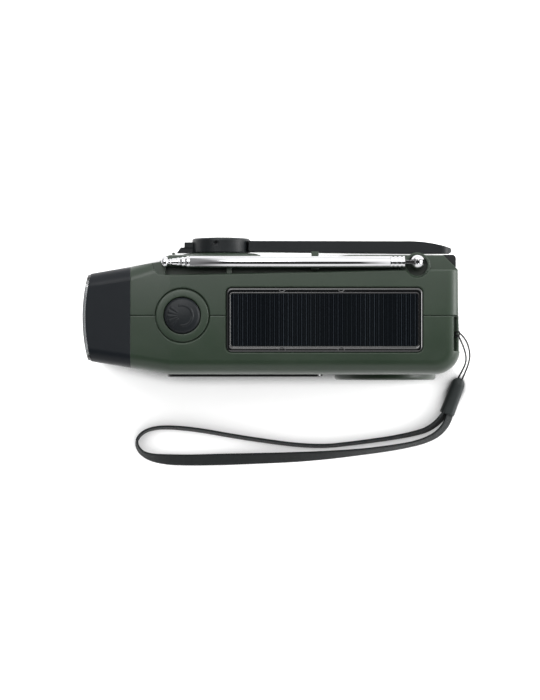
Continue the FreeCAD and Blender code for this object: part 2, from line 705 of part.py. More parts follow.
# ---------------------------------------------------------------- thumbwheels
def thumbwheel(z):
    """Knurled wheel with its stub shaft, about the Y axis."""
    disc = rod_y(WHEEL_R, -5.8, -0.8, WHEEL_X, z)
    for n in range(36):
        a = 2 * math.pi * (n + 0.5) / 36
        reach = WHEEL_R + 0.1
        nick = rod_y(0.42, -7, 0, WHEEL_X + reach * math.cos(a), z + reach * math.sin(a))
        disc = disc.cut(nick)
    return fuse(disc, rod_y(1.5, -0.8, 4.6, WHEEL_X, z))


keep("tuning_wheel", thumbwheel(TUNE_Z))
keep("volume_wheel", thumbwheel(VOLUME_Z))
units = []
for wz in (TUNE_Z, VOLUME_Z):
    unit = box(65.4, 77.4, 0.4, 6.0, wz - 6.0, wz + 6.0)
    units.append(unit.cut(rod_y(1.55, 0, 5.2, WHEEL_X, wz)))
keep("wheel_controls", *units)

# ---------------------------------------------------------------- inside
board = box(-50.0, 26.0, -14.2, -12.6, 6.0, 66.0)
for sx, sz in SCREWS:
    board = board.cut(rod_y(3.8, -20, 0, sx, sz))
keep("main_board", board)
chips = [
    (-36, -22, 30, 40, 2.2),
    (-18, -8, 44, 52, 1.6),
    (0, 14, 46, 58, 4.6),
    (-16, -6, 12, 20, 4.0),
    (2, 20, 10, 18, 1.8),
    (-30, -24, 48, 56, 5.0),
]
keep("board_parts", *[box(a, b, -12.6, -12.6 + h, c, d) for a, b, c, d, h in chips])
ferrite = rod_x(4.0, -4.0, 56.0, -7.2, 64.2)
keep("ferrite_antenna", fuse(ferrite, rod_x(4.9, 18.0, 32.0, -7.2, 64.2)))
CELLS = [10.0, 20.15, 30.3]
cells = []
for cz in CELLS:
    cells.append(fuse(rod_x(5.0, 39.2, 68.7, 12.2, cz), rod_x(1.6, 68.7, 69.7, 12.2, cz)))
keep("battery_cells", *cells)
tray = box(37.6, 71.4, 6.2, 17.5, 3.6, 36.6)
tray = tray.cut(box(38.8, 70.2, 7.1, 25.0, 4.8, 35.4))
keep("battery_tray", tray)
bx0, bx1, bz0, bz1 = DOOR
door = box(bx0, bx1, 20.35, 22.25, DOOR_PIN[1], bz1)
door = fuse(door, rod_x(0.95, bx0, bx1, *DOOR_PIN))
door = fuse(door, rod_x(0.6, bx0 - 1.4, bx1 + 1.4, *DOOR_PIN))
for i in range(4):
    door = door.cut(box(51, 61, 21.85, 23, 27.0 + 1.4 * i, 27.6 + 1.4 * i))
keep("battery_door", door)

# ---------------------------------------------------------------- sockets and cover
mouth_in = box(-6.4, 2, -1.8, 1.8, USB[0] + 0.6, USB[1] - 0.6)
usb = cornered(box(-7.2, 0, -2.4, 2.4, *USB).cut(mouth_in))
tongue = cornered(box(-6.8, -0.6, -0.5, 0.5, USB[0] + 1.6, USB[1] - 1.6))
jack = cornered(rod_x(3.0, -8.0, 0, 0, JACK_Z).cut(rod_x(1.8, -7.0, 2, 0, JACK_Z)))
keep("sockets", fuse(usb, tongue), jack)
corner = slab_z([(73.2, 22.5), (78.5, 17.2), (78.7, 17.4), (78.7, 22.6), (73.4, 22.6)], 16.4, 60.2)
corner = round_edges(
    corner,
    1.6,
    lambda e: along(e, up) and e.Vertexes[0].X > 78.6 and e.Vertexes[0].Y > 22.5,
)
corner = corner.cut(cornered(box(-2, 1.6, -3.0, 3.0, 30, 58.6)))
keep("port_cover", corner)

# ---------------------------------------------------------------- feet and screws
keep("feet", *[rod_z(4.0, 0.0, 1.0, fx, fy) for fx in (-34.0, 66.0) for fy in (-19.0, 12.0)])
screws = []
for sx, sz in SCREWS:
    base = 20.0 if sx < 0 else 19.6
    cap_head = cut(
        rod_y(2.5, base, base + 1.3, sx, sz),
        box(sx - 2, sx + 2, base + 0.6, 30, sz - 0.3, sz + 0.3),
        box(sx - 0.3, sx + 0.3, base + 0.6, 30, sz - 2, sz + 2),
    )
    screws.append(fuse(cap_head, rod_y(1.4, -14.0, base, sx, sz)))
keep("case_screws", *screws)

# ---------------------------------------------------------------- strap


def cord_path(points):
    """Straight runs joined by tangent arcs; returns the wire and the arc radii."""
    edges, radii = [], []
    at = V(*points[0])
    for i in range(1, len(points) - 1):
        a, b, c = V(*points[i - 1]), V(*points[i]), V(*points[i + 1])
        d1 = (b - a).normalize()
        d2 = (c - b).normalize()
        turn = d1.getAngle(d2)
        reach = 0.45 * min((b - a).Length, (c - b).Length)
        radius = reach / math.tan(turn / 2)
        start = b - d1 * reach
        end = b + d2 * reach
        inward = (d2 - d1).normalize()
        mid = b + inward * (radius / math.cos(turn / 2) - radius)
        edges.append(Part.LineSegment(at, start).toShape())
        edges.append(Part.Arc(start, mid, end).toShape())
        radii.append(round(radius, 1))
        at = end
    edges.append(Part.LineSegment(at, V(*points[-1])).toShape())
    return Part.Wire(edges), radii


def cord(name, points, r):
    wire, radii = cord_path(points)
    start = V(*points[0])
    ring = Part.makeCircle(r, start, V(*points[1]) - start)
    tube = wire.makePipeShell([Part.Wire([ring])], True, False)
    whole = wire.Length * math.pi * r * r
    sizes = ("radii", radii, "length", round(wire.Length, 1))
    print(name, *sizes, "volume ratio", round(tube.Volume / whole, 4))
    keep(name, tube)


STRAND_A = [
    (79.9, -10.6, 65.0),
    (83.2, -13.0, 56.5),
    (86.2, -18.6, 37.5),
    (87.1, -22.4, 21.0),
    (86.5, -26.6, 8.8),
    (84.93, -30.98, 3.0),
]
STRAND_B = [
    (79.9, -12.6, 64.0),
    (82.2, -15.6, 52.5),
    (84.9, -20.4, 33.0),
    (85.6, -23.8, 18.0),
    (84.6, -27.4, 7.0),
    (83.25, -30.34, 2.4),
]
cord("strap_cord_a", STRAND_A, CORD_D / 2)
cord("strap_cord_b", STRAND_B, CORD_D / 2)
hitch = box(77.7, 79.9, -13.4, -9.6, 61.8, 71.0).cut(box(78.25, 79.35, -20, 0, 62.35, 70.45))
keep("strap_hitch", hitch)

clasp = box(0, 17.1, -3.3, 3.3, 0.0, 5.2)
clasp = round_edges(clasp, 2.0, lambda e: True)
clasp.Placement = FreeCAD.Placement(V(84.3, -30.1, 0), FreeCAD.Rotation(V(0, 0, 1), -110.6))
keep("strap_clasp", clasp)

WEB = [
    (77.5, -45.3),
    (72.6, -51.6),
    (60.0, -54.9),
    (40.0, -58.0),
    (20.0, -60.4),
    (-10.0, -56.4),
    (-36.0, -51.9),
    (-53.0, -51.4),
    (-60.2, -57.6),
    (-56.4, -64.8),
    (-43.0, -66.7),
    (-15.0, -65.9),
    (20.0, -64.0),
    (50.0, -60.4),
    (70.0, -57.0),
    (78.2, -51.0),
    (79.6, -45.9),
]
wire, radii = cord_path([(x, y, WEB_W / 2) for x, y in WEB])
a, b = V(*WEB[0], 0), V(*WEB[1], 0)
run = (b - a).normalize()
flank = V(-run.y, run.x, 0) * (WEB_T / 2)
corners = [a + flank, a - flank, a - flank + V(0, 0, WEB_W), a + flank + V(0, 0, WEB_W)]
strip = wire.makePipeShell([Part.makePolygon(corners + corners[:1])], True, False)
print("strap_webbing radii", radii, "length", round(wire.Length, 1))
print("strap_webbing volume ratio", round(strip.Volume / (wire.Length * WEB_W * WEB_T), 4))
keep("strap_webbing", strip)

# ---------------------------------------------------------------- write
for name, shape in PARTS.items():
    if not shape.isValid():
        print("not valid:", name)
    if not shape.Solids:
        print("no solid:", name)
    shape.exportStep(os.path.join("parts", name + ".step"))
print(len(PARTS), "nodes")
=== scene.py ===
import json
import math

import bmesh
import bpy
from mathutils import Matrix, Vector


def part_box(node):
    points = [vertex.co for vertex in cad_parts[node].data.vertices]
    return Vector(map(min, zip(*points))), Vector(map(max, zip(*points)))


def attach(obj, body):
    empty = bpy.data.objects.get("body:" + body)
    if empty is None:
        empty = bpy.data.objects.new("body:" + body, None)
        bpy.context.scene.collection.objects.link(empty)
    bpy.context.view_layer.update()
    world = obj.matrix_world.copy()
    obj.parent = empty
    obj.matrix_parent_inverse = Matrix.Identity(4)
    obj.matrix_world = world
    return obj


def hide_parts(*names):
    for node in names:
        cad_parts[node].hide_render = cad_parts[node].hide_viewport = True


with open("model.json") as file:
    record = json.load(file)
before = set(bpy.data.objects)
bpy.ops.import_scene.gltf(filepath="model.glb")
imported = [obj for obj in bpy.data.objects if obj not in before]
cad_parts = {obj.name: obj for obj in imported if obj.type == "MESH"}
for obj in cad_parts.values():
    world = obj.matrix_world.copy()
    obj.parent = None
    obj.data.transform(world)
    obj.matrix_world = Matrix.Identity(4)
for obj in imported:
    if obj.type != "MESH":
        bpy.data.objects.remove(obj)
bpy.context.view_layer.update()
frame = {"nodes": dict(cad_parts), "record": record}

MM = 0.001
NODES = frame["nodes"]

# ---------------------------------------------------------------- camera
eye = bpy.data.cameras.new("eye")
eye.lens = 150
eye.sensor_width = 36
eye.clip_end = 20
camera = bpy.data.objects.new("camera", eye)
camera.location = (0.0, -0.01775, 1.2945)
bpy.context.collection.objects.link(camera)
bpy.context.scene.camera = camera

# ---------------------------------------------------------------- material kit


class Look:
    """One procedural material round a Principled shader."""

    def __init__(self, name, **sockets):
        self.mat = bpy.data.materials.new(name)
        self.mat.use_nodes = True
        self.tree = self.mat.node_tree
        self.tree.nodes.clear()
        self.shader = self.node("ShaderNodeBsdfPrincipled")
        out = self.node("ShaderNodeOutputMaterial")
        self.tree.links.new(self.shader.outputs[0], out.inputs[0])
        self.place = self.node("ShaderNodeTexCoord").outputs["Object"]
        for key, value in sockets.items():
            self.shader.inputs[key.replace("_", " ")].default_value = value

    def node(self, kind, **settings):
        made = self.tree.nodes.new(kind)
        for key, value in settings.items():
            setattr(made, key, value)
        return made

    def put(self, socket, value):
        if isinstance(value, bpy.types.NodeSocket):
            self.tree.links.new(value, socket)
        else:
            socket.default_value = value

    def noise(self, scale, detail=3.0, rough=0.55, stretch=None):
        n = self.node("ShaderNodeTexNoise")
        where = self.place
        if stretch:
            m = self.node("ShaderNodeMapping")
            m.inputs["Scale"].default_value = stretch
            self.tree.links.new(where, m.inputs["Vector"])
            where = m.outputs[0]
        self.tree.links.new(where, n.inputs["Vector"])
        n.inputs["Scale"].default_value = scale
        n.inputs["Detail"].default_value = detail
        n.inputs["Roughness"].default_value = rough
        return n.outputs["Fac"]

    def cells(self, scale, feature="F1", randomness=1.0):
        n = self.node("ShaderNodeTexVoronoi", feature=feature)
        self.tree.links.new(self.place, n.inputs["Vector"])
        n.inputs["Scale"].default_value = scale
        n.inputs["Randomness"].default_value = randomness
        return n.outputs["Distance"]

    def span(self, value, a, b, lo=0.0, hi=1.0):
        n = self.node("ShaderNodeMapRange")
        self.put(n.inputs["Value"], value)
        n.inputs["From Min"].default_value = a
        n.inputs["From Max"].default_value = b
        n.inputs["To Min"].default_value = lo
        n.inputs["To Max"].default_value = hi
        return n.outputs[0]

    def math(self, operation, a, b=0.0, c=0.0):
        n = self.node("ShaderNodeMath", operation=operation)
        self.put(n.inputs[0], a)
        self.put(n.inputs[1], b)
        self.put(n.inputs[2], c)
        return n.outputs[0]

    def blend(self, fac, a, b):
        n = self.node("ShaderNodeMix", data_type="RGBA")
        self.put(n.inputs["Factor"], fac)
        self.put(n.inputs[6], a if isinstance(a, bpy.types.NodeSocket) else (*a, 1.0))
        self.put(n.inputs[7], b if isinstance(b, bpy.types.NodeSocket) else (*b, 1.0))
        return n.outputs[2]

    def axis(self, name, place=None):
        n = self.node("ShaderNodeSeparateXYZ")
        self.tree.links.new(place or self.place, n.inputs[0])
        return n.outputs[name]

    def edge(self, radius):
        """Rounded normal near sharp edges, and how much it turns there."""
        soft = self.node("ShaderNodeBevel", samples=6)
        soft.inputs["Radius"].default_value = radius
        flat = self.node("ShaderNodeNewGeometry").outputs["True Normal"]
        dot = self.node("ShaderNodeVectorMath", operation="DOT_PRODUCT")
        self.tree.links.new(soft.outputs[0], dot.inputs[0])
        self.tree.links.new(flat, dot.inputs[1])
        turn = self.math("SUBTRACT", 1.0, dot.outputs["Value"])
        return soft.outputs[0], turn

    def bump(self, height, distance, strength=1.0, normal=None):
        n = self.node("ShaderNodeBump")
        n.inputs["Strength"].default_value = strength
        n.inputs["Distance"].default_value = distance
        self.put(n.inputs["Height"], height)
        if normal is not None:
            self.tree.links.new(normal, n.inputs["Normal"])
        return n.outputs[0]

    def set(self, name, value):
        self.put(self.shader.inputs[name], value)


def shade(color, k):
    return tuple(min(1.0, c * k) for c in color)


def rubbed_and_highlight_tone(color):
    """Colour of an edge, paler than the moulding: partly polished by handling, partly a painted
    highlight.
    """
    return tuple(min(0.9, c * 2.0 + 0.03) for c in color)


def moulded(
    name,
    color,
    rough=(0.36, 0.5),
    grain=2600,
    depth=0.00002,
    soft=0.00035,
    wear_and_highlight=0.5,
    gleam=0.45,
    crown=0.0,
    **sockets,
):
    """Moulded plastic: spark-eroded grain, faint flow clouds, lighter edges, partly worn and partly
    a painted highlight.

    depth and soft are metres, wear is how pale the edges get (worn by handling, and a painted
    highlight), gleam the specular level, and crown the curvature of a barely domed surface.
    """
    look = Look(name, **sockets)
    look.shader.inputs["Specular IOR Level"].default_value = gleam
    clouds = look.noise(38, 4.0, 0.6)
    flow = look.noise(160, 2.0, 0.5, stretch=(1.0, 0.35, 0.35))
    tone = look.blend(look.span(clouds, 0.3, 0.7), shade(color, 0.93), shade(color, 1.07))
    tone = look.blend(look.span(flow, 0.35, 0.75, 0.0, 0.35), tone, shade(color, 1.12))
    pits = look.noise(grain, 2.0, 0.6)
    tone = look.blend(look.span(pits, 0.3, 0.5, 0.22, 0.0), tone, shade(color, 0.7))
    normal, turn = look.edge(soft)
    # sharp edges are paled towards the rubbed tone: partly worn by handling, partly a painted
    # highlight
    patchy = look.span(look.noise(420, 3.0), 0.35, 0.65, 0.35, 1.0)
    rubbed_and_highlit = look.math("MULTIPLY", look.span(turn, 0.02, 0.22), patchy)
    tone = look.blend(look.math("MULTIPLY", rubbed_and_highlit, wear_and_highlight), tone, rubbed_and_highlight_tone(color))
    look.set("Base Color", tone)
    ground = look.span(look.noise(90, 3.0), 0.3, 0.7, rough[0], rough[1])
    look.set("Roughness", look.math("SUBTRACT", ground, look.math("MULTIPLY", rubbed_and_highlit, 0.08)))
    if crown:
        lean_y = look.math("ADD", look.axis("Y"), 0.004)
        lean_x = look.math("SUBTRACT", look.axis("X"), 0.01)
        across = look.math("MULTIPLY", lean_y, lean_y)
        along = look.math("MULTIPLY", look.math("MULTIPLY", lean_x, lean_x), 0.12)
        hill = look.math("ADD", across, along)
        normal = look.bump(look.math("MULTIPLY", hill, -1000.0 * crown), 0.001, 1.0, normal)
    look.set("Normal", look.bump(pits, depth, 0.6, normal))
    return look


GREEN = (0.0150, 0.0254, 0.0154)
green = moulded("green_moulded", GREEN, (0.30, 0.40), wear_and_highlight=0.8, soft=0.0006, gleam=0.32, crown=1.7)
head_black = moulded("head_moulded", (0.0047, 0.0063, 0.0084), (0.34, 0.44), gleam=0.15)
black = moulded("black_moulded", (0.0062, 0.0078, 0.0088), (0.34, 0.46), gleam=0.2)
gloss = moulded(
    "gloss_black",
    (0.0016, 0.0019, 0.0022),
    (0.05, 0.09),
    grain=900,
    depth=0.000001,
    soft=0.00015,
    wear_and_highlight=0.15,
    gleam=0.75,
)
nylon = moulded("white_nylon", (0.72, 0.71, 0.66), (0.35, 0.5))
red = moulded("red_moulded", (0.42, 0.02, 0.015), (0.3, 0.42))
rubber = moulded(
    "rubber_black",
    (0.006, 0.0066, 0.007),
    (0.55, 0.7),
    grain=1500,
    depth=0.00004,
    soft=0.0004,
    wear_and_highlight=0.35,
    gleam=0.25,
)
button_rubber = moulded(
    "button_rubber",
    (0.0046, 0.0062, 0.0076),
    (0.40, 0.50),
    grain=2200,
    depth=0.00003,
    soft=0.0003,
    gleam=0.2,
)
clasp_rubber = moulded(
    "clasp_moulded", (0.016, 0.020, 0.020), (0.42, 0.56), grain=2400, depth=0.00003, gleam=0.3
)
paper = moulded("cone_paper", (0.02, 0.019, 0.018), (0.75, 0.9), grain=900, depth=0.00008)
wrap = moulded("cell_wrap", (0.35, 0.09, 0.02), (0.2, 0.3), grain=600, depth=0.000005)
ferrite = moulded("ferrite_rod", (0.05, 0.047, 0.045), (0.5, 0.65), grain=1400, depth=0.00005)


def metal(
    name,
    color,
    rough=(0.08, 0.16),
    stretch=(0.04, 1, 1),
    scale=1800,
    depth=0.000004,
    soft=0.0002,
):
    """Turned or drawn metal with fine lines along one axis."""
    look = Look(name, Metallic=1.0)
    lines = look.noise(scale, 3.0, 0.6, stretch=stretch)
    smear = look.noise(60, 4.0, 0.6)
    tone = look.blend(look.span(smear, 0.3, 0.75), shade(color, 0.92), color)
    scored = look.span(lines, 0.3, 0.6, 0.25, 0.0)
    look.set("Base Color", look.blend(scored, tone, shade(color, 0.7)))
    ground = look.span(smear, 0.3, 0.7, rough[0], rough[1])
    look.set("Roughness", look.math("ADD", ground, look.span(lines, 0.4, 0.7, 0.0, 0.05)))
    normal, _ = look.edge(soft)
    look.set("Normal", look.bump(lines, depth, 0.5, normal))
    return look


chrome = metal("antenna_chrome", (0.50, 0.50, 0.51), (0.015, 0.045), depth=0.0000006, soft=0.00012)
reflector = metal(
    "reflector_chrome", (0.9, 0.9, 0.9), (0.06, 0.12), stretch=(1, 1, 1), scale=900, depth=0.000002
)
steel = metal("brushed_steel", (0.50, 0.50, 0.50), (0.25, 0.38), stretch=(1, 1, 0.05))
blued = metal("blued_steel", (0.035, 0.036, 0.038), (0.22, 0.34), stretch=(1, 1, 1))
brass = metal("turned_brass", (0.62, 0.43, 0.16), (0.2, 0.32), stretch=(1, 0.05, 1))


def clear(name, tint, rough=0.03, **sockets):
    """Clear moulded plastic with faint ripples and handling haze."""
    look = Look(name, IOR=1.49, **sockets)
    look.shader.inputs["Transmission Weight"].default_value = 1.0
    streaks = look.span(look.noise(50, 3.0), 0.3, 0.7)
    look.set("Base Color", look.blend(streaks, tint, shade(tint, 0.96)))
    look.set("Roughness", look.span(look.noise(240, 4.0, 0.65), 0.35, 0.75, rough, rough + 0.05))
    look.set("Normal", look.bump(look.noise(120, 2.0), 0.00001, 0.3))
    return look


lens_clear = clear("lens_clear", (0.58, 0.60, 0.61))
panel_clear = clear("panel_clear", (0.97, 0.98, 0.98), 0.01)


def board(name, color):
    """Printed board: lacquer over copper lines on a fine grid."""
    look = Look(name)
    tracks = look.cells(420, "DISTANCE_TO_EDGE", randomness=0.9)
    tone = look.blend(look.span(tracks, 0.02, 0.06), shade(color, 1.8), color)
    look.set("Base Color", tone)
    look.set("Roughness", look.span(look.noise(200), 0.3, 0.7, 0.25, 0.4))
    look.set("Normal", look.bump(tracks, 0.00004, 0.4))
    return look


board_green = board("board_green", (0.02, 0.11, 0.04))
board_white = board("board_white", (0.42, 0.42, 0.40))

# solar cells under clear resin: near-black silicon, fine printed lines, faint crystal shimmer
cell = Look("solar_cells", Roughness=0.35)
cell.shader.inputs["Specular IOR Level"].default_value = 0.0
cell.shader.inputs["Coat Weight"].default_value = 1.0
cell.shader.inputs["Coat Roughness"].default_value = 0.03
along_x = cell.axis("X")
grains = cell.cells(900)
crystals = cell.span(grains, 0.1, 0.7)
silicon = cell.blend(crystals, (0.0006, 0.0011, 0.0018), (0.0013, 0.0020, 0.0030))
strips = cell.noise(90, 2.0, 0.5, stretch=(1.0, 0.02, 0.02))
silicon = cell.blend(cell.span(strips, 0.35, 0.65), silicon, (0.0018, 0.0025, 0.0032))


def fingers(pitch, width, strength):
    gap = cell.math("PINGPONG", along_x, pitch / 2)
    return cell.math("MULTIPLY", cell.span(gap, width * 0.4, width, 1.0, 0.0), strength)


fade = cell.span(cell.noise(210, 2.0, 0.5, stretch=(1.0, 0.02, 0.02)), 0.30, 0.60, 0.3, 1.0)
lines = cell.math("MAXIMUM", fingers(0.0019, 0.00015, 1.0), fingers(0.00095, 0.0001, 0.4))
lines = cell.math("MULTIPLY", lines, fade)
cell.set("Base Color", cell.blend(lines, silicon, (0.020, 0.025, 0.030)))
cell.set("Normal", cell.bump(lines, 0.00001, 0.3))

# yellow phosphor LED domes
led = Look("led_phosphor", Roughness=0.25)
led.shader.inputs["Subsurface Weight"].default_value = 0.3
led.shader.inputs["Subsurface Scale"].default_value = 0.001
powder = led.span(led.noise(900, 3.0), 0.3, 0.7)
led.set("Base Color", led.blend(powder, (0.80, 0.62, 0.10), (0.88, 0.74, 0.22)))
led.set("Normal", led.bump(led.noise(2500), 0.00001, 0.4))

# dial scale: off-white card with fibre
card = Look("dial_card", Roughness=0.6)
fibre = card.span(card.noise(700, 4.0), 0.3, 0.7)
card.set("Base Color", card.blend(fibre, (0.66, 0.65, 0.60), (0.74, 0.73, 0.69)))
card.set("Normal", card.bump(card.noise(1800, 4.0), 0.00002, 0.4))

LOOKS = {
    "green_plastic": green,
    "head_plastic": head_black,
    "black_plastic": black,
    "gloss_black": gloss,
    "lens_clear": lens_clear,
    "panel_clear": panel_clear,
    "reflector_chrome": reflector,
    "antenna_chrome": chrome,
    "steel": steel,
    "led_yellow": led,
    "board_green": board_green,
    "board_white": board_white,
    "cell_blue": cell,
    "rubber_black": rubber,
    "button_rubber": button_rubber,
    "white_nylon": nylon,
    "brass": brass,
    "paper_black": paper,
    "scale_white": card,
    "red_plastic": red,
    "ferrite": ferrite,
    "cell_wrap": wrap,
}
for part in frame["record"]["subparts"]:
    node = NODES[part["node"]]
    if part["material_slot"] in LOOKS:
        for slot in node.material_slots:
            slot.material = LOOKS[part["material_slot"]].mat

for slot in NODES["crank_set_screw"].material_slots:
    slot.material = blued.mat

# ---------------------------------------------------------------- mesh kit


def smooth(a, b, v):
    t = min(1.0, max(0.0, (v - a) / (b - a)))
    return t * t * (3 - 2 * t)


def piece(name, verts, faces, look, body, slot, stands_for=(), smooth=True):
    """A mesh piece in place, riding on a body."""
    mesh = bpy.data.meshes.new(name)
    mesh.from_pydata([tuple(v) for v in verts], [], faces)
    mesh.update()
    fix = bmesh.new()
    fix.from_mesh(mesh)
    bmesh.ops.recalc_face_normals(fix, faces=fix.faces)
    fix.to_mesh(mesh)
    fix.free()
    for p in mesh.polygons:
        p.use_smooth = smooth
    obj = bpy.data.objects.new(name, mesh)
    bpy.context.collection.objects.link(obj)
    mesh.materials.append(look.mat)
    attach(obj, body)
    if stands_for:
        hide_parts(*stands_for)
    return obj


def lathe(profile, centre, along, segments=96):
    """Closed turned shape: profile of (radius, height) from one end of the axis to the other."""
    axis = Vector(along).normalized()
    side = axis.orthogonal().normalized()
    if abs(axis.z) > 0.9:
        side = Vector((1, 0, 0))
    other = axis.cross(side)
    verts, faces, rings = [], [], []
    for r, h in profile:
        base = Vector(centre) + axis * h
        if r < 1e-7:
            rings.append([len(verts)])
            verts.append(base)
            continue
        rings.append(list(range(len(verts), len(verts) + segments)))
        for k in range(segments):
            a = 2 * math.pi * k / segments
            verts.append(base + side * (r * math.cos(a)) + other * (r * math.sin(a)))
    for low, high in zip(rings, rings[1:]):
        for k in range(segments):
            n = (k + 1) % segments
            if len(low) == 1 and len(high) == 1:
                continue
            if len(low) == 1:
                faces.append((low[0], high[k], high[n]))
            elif len(high) == 1:
                faces.append((low[k], low[n], high[0]))
            else:
                faces.append((low[k], low[n], high[n], high[k]))
    return verts, faces


def joined(*shapes):
    verts, faces = [], []
    for v, f in shapes:
        at = len(verts)
        verts += v
        faces += [tuple(i + at for i in face) for face in f]
    return verts, faces


def route(name, points, steps):
    """Vertices of the smooth line through a cord's control points."""
    line = bpy.data.curves.new(name + "_line", "CURVE")
    line.dimensions = "3D"
    spline = line.splines.new("NURBS")
    spline.points.add(len(points) - 1)
    for p, co in zip(spline.points, points):
        p.co = (*[c * MM for c in co], 1.0)
    spline.order_u = 3
    spline.use_endpoint_u = True
    line.resolution_u = steps
    holder = bpy.data.objects.new(name + "_line", line)
    mesh = bpy.data.meshes.new_from_object(holder)
    found = [v.co.copy() for v in mesh.vertices]
    bpy.data.objects.remove(holder)
    bpy.data.meshes.remove(mesh)
    bpy.data.curves.remove(line)
    return found


def sweep(path, ring_at):
    """Tube along a path; ring_at(i, s, point, tangent) gives one ring of points."""
    verts, faces, run = [], [], []
    s = 0.0
    count = 0
    for i, p in enumerate(path):
        if i:
            s += (p - path[i - 1]).length
        a = path[max(0, i - 1)]
        b = path[min(len(path) - 1, i + 1)]
        ring, marks = ring_at(i, s, p, (b - a).normalized())
        count = len(ring)
        verts += ring
        run += marks
    for i in range(len(path) - 1):
        for k in range(count):
            n = (k + 1) % count
            a = i * count
            faces.append((a + k, a + n, a + count + n, a + count + k))
    faces.append(tuple(reversed(range(count))))
    last = (len(path) - 1) * count
    faces.append(tuple(range(last, last + count)))
    return verts, faces, run


# ---------------------------------------------------------------- strap: cords first


def woven(name, color, pitch, across):
    """Nylon yarn: crossing bundles along the run of the cord, with single filaments."""
    look = Look(name, Roughness=0.62)
    look.shader.inputs["Specular IOR Level"].default_value = 0.2
    look.shader.inputs["Sheen Weight"].default_value = 0.06
    look.shader.inputs["Sheen Roughness"].default_value = 0.4
    mark = look.node("ShaderNodeAttribute", attribute_name="run").outputs["Vector"]
    s = look.axis("X", mark)
    t = look.axis("Y", mark)
    down = look.math("MULTIPLY", s, 2 * math.pi / pitch)
    over = look.math("MULTIPLY", t, 2 * math.pi / across)
    lean = look.math("ADD", down, over)
    other = look.math("SUBTRACT", down, over)
    weave = look.math("MULTIPLY", look.math("SINE", lean), look.math("SINE", other))
    hairs = look.noise(2600, 3.0, 0.7, stretch=(1, 1, 1))
    tone = look.blend(look.span(weave, -0.6, 0.8), shade(color, 0.45), shade(color, 1.25))
    tone = look.blend(look.span(hairs, 0.5, 0.75, 0.0, 0.5), tone, shade(color, 2.2))
    look.set("Base Color", tone)
    height = look.math("ADD", look.math("MULTIPLY", weave, 0.7), look.math("MULTIPLY", hairs, 0.3))
    look.set("Normal", look.bump(height, 0.00008, 0.7))
    return look


cord_look = woven("cord_yarn", (0.007, 0.0074, 0.0078), 0.0009, 0.0006)
web_look = woven("webbing_yarn", (0.0085, 0.0105, 0.011), 0.0011, 0.0008)


def add_run(obj, run):
    """Distance along and across the cord, stored on its points for the weave."""
    data = obj.data.attributes.new("run", "FLOAT_VECTOR", "POINT")
    data.data.foreach_set("vector", [c for mark in run for c in mark])


def round_ring(radius, sides, pitch, lift):
    """Ring maker for a twisted cord of two-ply yarn."""
    state = {}

    def ring_at(i, s, p, tangent):
        side = state.get("side")
        if side is None:
            side = tangent.orthogonal().normalized()
        side = (side - tangent * side.dot(tangent)).normalized()
        state["side"] = side
        other = tangent.cross(side)
        ring, marks = [], []
        for k in range(sides):
            a = 2 * math.pi * k / sides
            twist = 2 * math.pi * s / pitch
            swell = lift * (math.sin(4 * a + twist) * math.sin(4 * a - twist))
            r = radius - lift + swell
            ring.append(p + side * (r * math.cos(a)) + other * (r * math.sin(a)))
            marks.append((s, radius * a, 0.0))
        return ring, marks

    return ring_at


STRAND_A = [
    (79.9, -10.6, 65.0),
    (83.2, -13.0, 56.5),
    (86.2, -18.6, 37.5),
    (87.1, -22.4, 21.0),
    (86.5, -26.6, 8.8),
    (84.93, -30.98, 3.0),
]
STRAND_B = [
    (79.9, -12.6, 64.0),
    (82.2, -15.6, 52.5),
    (84.9, -20.4, 33.0),
    (85.6, -23.8, 18.0),
    (84.6, -27.4, 7.0),
    (83.25, -30.34, 2.4),
]
for label, points in (("a", STRAND_A), ("b", STRAND_B)):
    path = route("strand_" + label, points, 90)
    verts, faces, run = sweep(path, round_ring(0.00040, 20, 0.0026, 0.000035))
    strand = piece(
        "strap_strand_" + label,
        verts,
        faces,
        cord_look,
        "case",
        "cord_nylon",
        ["strap_cord_" + label],
    )
    add_run(strand, run)

WEB = [
    (77.8, -45.5, 58),
    (73.2, -52.1, 68),
    (60.0, -55.8, 74),
    (40.0, -58.7, 75),
    (20.0, -60.9, 75),
    (-10.0, -57.0, 74),
    (-36.0, -52.3, 74),
    (-53.0, -51.8, 78),
    (-60.2, -57.6, 84),
    (-56.4, -64.8, 66),
    (-43.0, -66.7, 34),
    (-15.0, -66.1, 26),
    (20.0, -64.9, 40),
    (50.0, -61.9, 62),
    (70.0, -58.1, 68),
    (78.6, -51.2, 60),
    (79.6, -45.9, 56),
]
HALF_W = 2.75
HALF_T = 0.5


def standing(lean):
    a = math.radians(lean)
    return HALF_W * math.sin(a) + HALF_T * math.cos(a)


web_line = [(x, y, standing(lean)) for x, y, lean in WEB]
web_path = route("webbing", web_line, 110)
RIB = 1.38


# past this point of WEB the ribbon's wide side is measured the other way
TURN_OVER = 8.0


